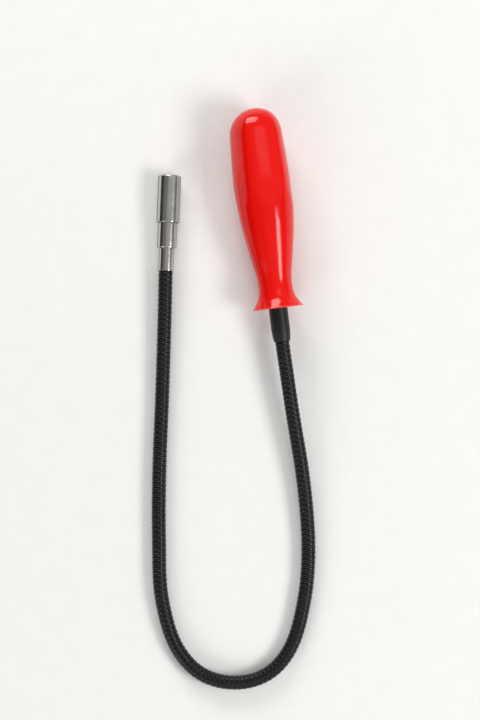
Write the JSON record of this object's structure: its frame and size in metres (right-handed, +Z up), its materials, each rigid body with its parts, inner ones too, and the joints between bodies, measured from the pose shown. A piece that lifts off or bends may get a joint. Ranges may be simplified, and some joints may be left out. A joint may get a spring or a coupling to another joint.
{
  "type": "flexible magnetic pickup tool",
  "caption": "Flexible gooseneck pickup tool: fluted red grip, black coiled steel neck that holds its bend, and a chromed twist-on light head with a ring magnet.",
  "frame": {"origin": "middle of the tool's footprint on the floor it lies on", "axes": "+Y along the tool's longest side, towards the rounded end of the grip; +X from the head's leg of the U to the grip's leg; +Z up, square to the plane of the bent neck"},
  "size_m": [0.086, 0.3034, 0.0299],
  "materials": {
    "grip_plastic": "glossy bright red moulded plastic",
    "collar_rubber": "matte black rubber strain relief",
    "gooseneck": "satin black coated steel coil with a shine on each ridge",
    "chrome_head": "polished chrome on turned brass, fine turning marks",
    "magnet_nickel": "nickel-plated neodymium magnet, faintly worn",
    "cell_nickel": "nickel-plated button cell",
    "plain_steel": "plain bright steel",
    "seal_rubber": "black nitrile seal",
    "holder_plastic": "white insulating plastic",
    "board": "green circuit board",
    "led_lens": "clear epoxy light body"
  },
  "bodies": {
    "handle": {"handle": "grip_plastic", "collar": "collar_rubber", "anchor_bush": "plain_steel", "neck_root": "gooseneck"},
    "neck_01": {"neck_link_01": "gooseneck"},
    "neck_02": {"neck_link_02": "gooseneck"},
    "neck_03": {"neck_link_03": "gooseneck"},
    "neck_04": {"neck_link_04": "gooseneck"},
    "neck_05": {"neck_link_05": "gooseneck"},
    "neck_06": {"neck_link_06": "gooseneck"},
    "neck_07": {"neck_link_07": "gooseneck"},
    "neck_08": {"neck_link_08": "gooseneck"},
    "neck_09": {"neck_link_09": "gooseneck"},
    "neck_10": {"neck_link_10": "gooseneck"},
    "neck_11": {"neck_link_11": "gooseneck"},
    "neck_12": {"neck_link_12": "gooseneck"},
    "neck_13": {"neck_link_13": "gooseneck"},
    "neck_14": {"neck_link_14": "gooseneck"},
    "neck_15": {"neck_link_15": "gooseneck"},
    "neck_16": {"neck_link_16": "gooseneck"},
    "neck_17": {"neck_link_17": "gooseneck"},
    "neck_18": {"neck_link_18": "gooseneck"},
    "neck_19": {"neck_link_19": "gooseneck"},
    "neck_20": {"neck_link_20": "gooseneck"},
    "neck_21": {"neck_link_21": "gooseneck"},
    "neck_22": {"neck_link_22": "gooseneck"},
    "neck_23": {"neck_link_23": "gooseneck"},
    "neck_24": {"neck_link_24": "gooseneck"},
    "neck_25": {"neck_link_25": "gooseneck"},
    "neck_26": {"neck_link_26": "gooseneck"},
    "neck_27": {"neck_link_27": "gooseneck"},
    "neck_28": {"neck_link_28": "gooseneck"},
    "neck_29": {"neck_link_29": "gooseneck"},
    "neck_30": {"neck_link_30": "gooseneck"},
    "neck_31": {"neck_link_31": "gooseneck"},
    "neck_32": {"neck_link_32": "gooseneck"},
    "neck_33": {"neck_link_33": "gooseneck"},
    "neck_34": {"neck_link_34": "gooseneck"},
    "head": {"neck_tip": "gooseneck", "ferrule": "chrome_head", "battery_barrel": "chrome_head", "contact_spring": "plain_steel", "o_ring": "seal_rubber", "battery_cell_1": "cell_nickel", "battery_cell_2": "cell_nickel", "battery_cell_3": "cell_nickel", "battery_cell_4": "cell_nickel"},
    "lamp": {"lamp_barrel": "chrome_head", "magnet": "magnet_nickel", "led_holder": "holder_plastic", "led": "led_lens", "contact_board": "board", "led_lead_1": "plain_steel", "led_lead_2": "plain_steel"}
  },
  "joints": [
    {"name": "bend_1", "type": "hinge", "parent": "handle", "child": "neck_01", "pos_m": [0.02567, 0.02877, 0.01247], "axis": [0, 0, 1], "range_deg": [0, 23.5]},
    {"name": "bend_1_b", "type": "hinge", "parent": "neck_01", "child": "neck_02", "pos_m": [0.02751, 0.01624, 0.01137], "axis": [0, 0, 1], "range_deg": [0, 23.5]},
    {"name": "bend_1_c", "type": "hinge", "parent": "neck_02", "child": "neck_03", "pos_m": [0.02935, 0.00371, 0.01027], "axis": [0, 0, 1], "range_deg": [0, 23.5]},
    {"name": "bend_1_d", "type": "hinge", "parent": "neck_03", "child": "neck_04", "pos_m": [0.03129, -0.00881, 0.00916], "axis": [0, 0, 1], "range_deg": [0, 23.5]},
    {"name": "lift_1", "type": "hinge", "parent": "neck_04", "child": "neck_05", "pos_m": [0.03343, -0.02128, 0.00799], "axis": [-0.9861, -0.1663, 0], "range_deg": [-25, 25]},
    {"name": "bend_2", "type": "hinge", "parent": "neck_05", "child": "neck_06", "pos_m": [0.03551, -0.03377, 0.00687], "axis": [0, 0, -1], "range_deg": [-26.5, 0]},
    {"name": "bend_2_b", "type": "hinge", "parent": "neck_06", "child": "neck_07", "pos_m": [0.03718, -0.04634, 0.00589], "axis": [0, 0, -1], "range_deg": [-26.5, 0]},
    {"name": "bend_2_c", "type": "hinge", "parent": "neck_07", "child": "neck_08", "pos_m": [0.03845, -0.05896, 0.00511], "axis": [0, 0, -1], "range_deg": [-26.5, 0]},
    {"name": "bend_2_d", "type": "hinge", "parent": "neck_08", "child": "neck_09", "pos_m": [0.03925, -0.07163, 0.00449], "axis": [0, 0, -1], "range_deg": [-26.5, 0]},
    {"name": "lift_2", "type": "hinge", "parent": "neck_09", "child": "neck_10", "pos_m": [0.03926, -0.08433, 0.00405], "axis": [0.9994, -0.0338, 0], "range_deg": [-25, 25]},
    {"name": "bend_3", "type": "hinge", "parent": "neck_10", "child": "neck_11", "pos_m": [0.03839, -0.09701, 0.00384], "axis": [0, 0, 1], "range_deg": [0, 29]},
    {"name": "bend_3_b", "type": "hinge", "parent": "neck_11", "child": "neck_12", "pos_m": [0.03631, -0.10955, 0.00375], "axis": [0, 0, 1], "range_deg": [0, 29]},
    {"name": "bend_3_c", "type": "hinge", "parent": "neck_12", "child": "neck_13", "pos_m": [0.03328, -0.12189, 0.00376], "axis": [0, 0, 1], "range_deg": [0, 29]},
    {"name": "bend_3_d", "type": "hinge", "parent": "neck_13", "child": "neck_14", "pos_m": [0.02801, -0.1334, 0.00378], "axis": [0, 0, 1], "range_deg": [0, 29]},
    {"name": "bend_4", "type": "hinge", "parent": "neck_14", "child": "neck_15", "pos_m": [0.01943, -0.14269, 0.00378], "axis": [0, 0, -1], "range_deg": [-43, 0]},
    {"name": "bend_4_b", "type": "hinge", "parent": "neck_15", "child": "neck_16", "pos_m": [0.00783, -0.14765, 0.00378], "axis": [0, 0, -1], "range_deg": [-43, 0]},
    {"name": "bend_4_c", "type": "hinge", "parent": "neck_16", "child": "neck_17", "pos_m": [-0.00482, -0.14794, 0.00378], "axis": [0, 0, -1], "range_deg": [-43, 0]},
    {"name": "bend_4_d", "type": "hinge", "parent": "neck_17", "child": "neck_18", "pos_m": [-0.01674, -0.14381, 0.00378], "axis": [0, 0, -1], "range_deg": [-43, 0]},
    {"name": "bend_4_e", "type": "hinge", "parent": "neck_18", "child": "neck_19", "pos_m": [-0.02611, -0.13531, 0.00378], "axis": [0, 0, -1], "range_deg": [-43, 0]},
    {"name": "lift_3", "type": "hinge", "parent": "neck_19", "child": "neck_20", "pos_m": [-0.03236, -0.1243, 0.00378], "axis": [0.9197, 0.3926, 0], "range_deg": [-25, 25]},
    {"name": "bend_5", "type": "hinge", "parent": "neck_20", "child": "neck_21", "pos_m": [-0.036, -0.11213, 0.00378], "axis": [0, 0, 1], "range_deg": [0, 24.5]},
    {"name": "bend_5_b", "type": "hinge", "parent": "neck_21", "child": "neck_22", "pos_m": [-0.03827, -0.09963, 0.00378], "axis": [0, 0, 1], "range_deg": [0, 24.5]},
    {"name": "bend_5_c", "type": "hinge", "parent": "neck_22", "child": "neck_23", "pos_m": [-0.03898, -0.08694, 0.00378], "axis": [0, 0, 1], "range_deg": [0, 24.5]},
    {"name": "bend_5_d", "type": "hinge", "parent": "neck_23", "child": "neck_24", "pos_m": [-0.03912, -0.07423, 0.00378], "axis": [0, 0, 1], "range_deg": [0, 24.5]},
    {"name": "lift_4", "type": "hinge", "parent": "neck_24", "child": "neck_25", "pos_m": [-0.03927, -0.06152, 0.00377], "axis": [-1, -0.0023, 0], "range_deg": [-25, 25]},
    {"name": "bend_6", "type": "hinge", "parent": "neck_25", "child": "neck_26", "pos_m": [-0.03918, -0.04881, 0.00377], "axis": [0, 0, -1], "range_deg": [-24.5, 0]},
    {"name": "bend_6_b", "type": "hinge", "parent": "neck_26", "child": "neck_27", "pos_m": [-0.03894, -0.0361, 0.00378], "axis": [0, 0, -1], "range_deg": [-24.5, 0]},
    {"name": "bend_6_c", "type": "hinge", "parent": "neck_27", "child": "neck_28", "pos_m": [-0.03853, -0.02339, 0.00378], "axis": [0, 0, -1], "range_deg": [-24.5, 0]},
    {"name": "bend_6_d", "type": "hinge", "parent": "neck_28", "child": "neck_29", "pos_m": [-0.03798, -0.01069, 0.00381], "axis": [0, 0, -1], "range_deg": [-24.5, 0]},
    {"name": "lift_5", "type": "hinge", "parent": "neck_29", "child": "neck_30", "pos_m": [-0.03747, 0.00201, 0.00396], "axis": [0.9993, -0.0377, 0], "range_deg": [-25, 25]},
    {"name": "bend_7", "type": "hinge", "parent": "neck_30", "child": "neck_31", "pos_m": [-0.03702, 0.01471, 0.00431], "axis": [0, 0, 1], "range_deg": [0, 24.5]},
    {"name": "bend_7_b", "type": "hinge", "parent": "neck_31", "child": "neck_32", "pos_m": [-0.03661, 0.02741, 0.00475], "axis": [0, 0, 1], "range_deg": [0, 24.5]},
    {"name": "bend_7_c", "type": "hinge", "parent": "neck_32", "child": "neck_33", "pos_m": [-0.03623, 0.04011, 0.00517], "axis": [0, 0, 1], "range_deg": [0, 24.5]},
    {"name": "bend_7_d", "type": "hinge", "parent": "neck_33", "child": "neck_34", "pos_m": [-0.03588, 0.05281, 0.0056], "axis": [0, 0, 1], "range_deg": [0, 24.5]},
    {"name": "lift_6", "type": "hinge", "parent": "neck_34", "child": "head", "pos_m": [-0.03555, 0.06551, 0.00603], "axis": [-0.9994, 0.0342, 0], "range_deg": [-25, 25]},
    {"name": "light_switch", "type": "hinge", "parent": "head", "child": "lamp", "pos_m": [-0.03544, 0.06801, 0.00603], "axis": [0.042, 0.9991, 0], "range_deg": [0, 90]}
  ],
  "couplings": [
    {"joint": "bend_1_b", "follows": "bend_1", "ratio": 1},
    {"joint": "bend_1_c", "follows": "bend_1", "ratio": 1},
    {"joint": "bend_1_d", "follows": "bend_1", "ratio": 1},
    {"joint": "bend_2_b", "follows": "bend_2", "ratio": 1},
    {"joint": "bend_2_c", "follows": "bend_2", "ratio": 1},
    {"joint": "bend_2_d", "follows": "bend_2", "ratio": 1},
    {"joint": "bend_3_b", "follows": "bend_3", "ratio": 1},
    {"joint": "bend_3_c", "follows": "bend_3", "ratio": 1},
    {"joint": "bend_3_d", "follows": "bend_3", "ratio": 1},
    {"joint": "bend_4_b", "follows": "bend_4", "ratio": 1},
    {"joint": "bend_4_c", "follows": "bend_4", "ratio": 1},
    {"joint": "bend_4_d", "follows": "bend_4", "ratio": 1},
    {"joint": "bend_4_e", "follows": "bend_4", "ratio": 1},
    {"joint": "bend_5_b", "follows": "bend_5", "ratio": 1},
    {"joint": "bend_5_c", "follows": "bend_5", "ratio": 1},
    {"joint": "bend_5_d", "follows": "bend_5", "ratio": 1},
    {"joint": "bend_6_b", "follows": "bend_6", "ratio": 1},
    {"joint": "bend_6_c", "follows": "bend_6", "ratio": 1},
    {"joint": "bend_6_d", "follows": "bend_6", "ratio": 1},
    {"joint": "bend_7_b", "follows": "bend_7", "ratio": 1},
    {"joint": "bend_7_c", "follows": "bend_7", "ratio": 1},
    {"joint": "bend_7_d", "follows": "bend_7", "ratio": 1}
  ]
}
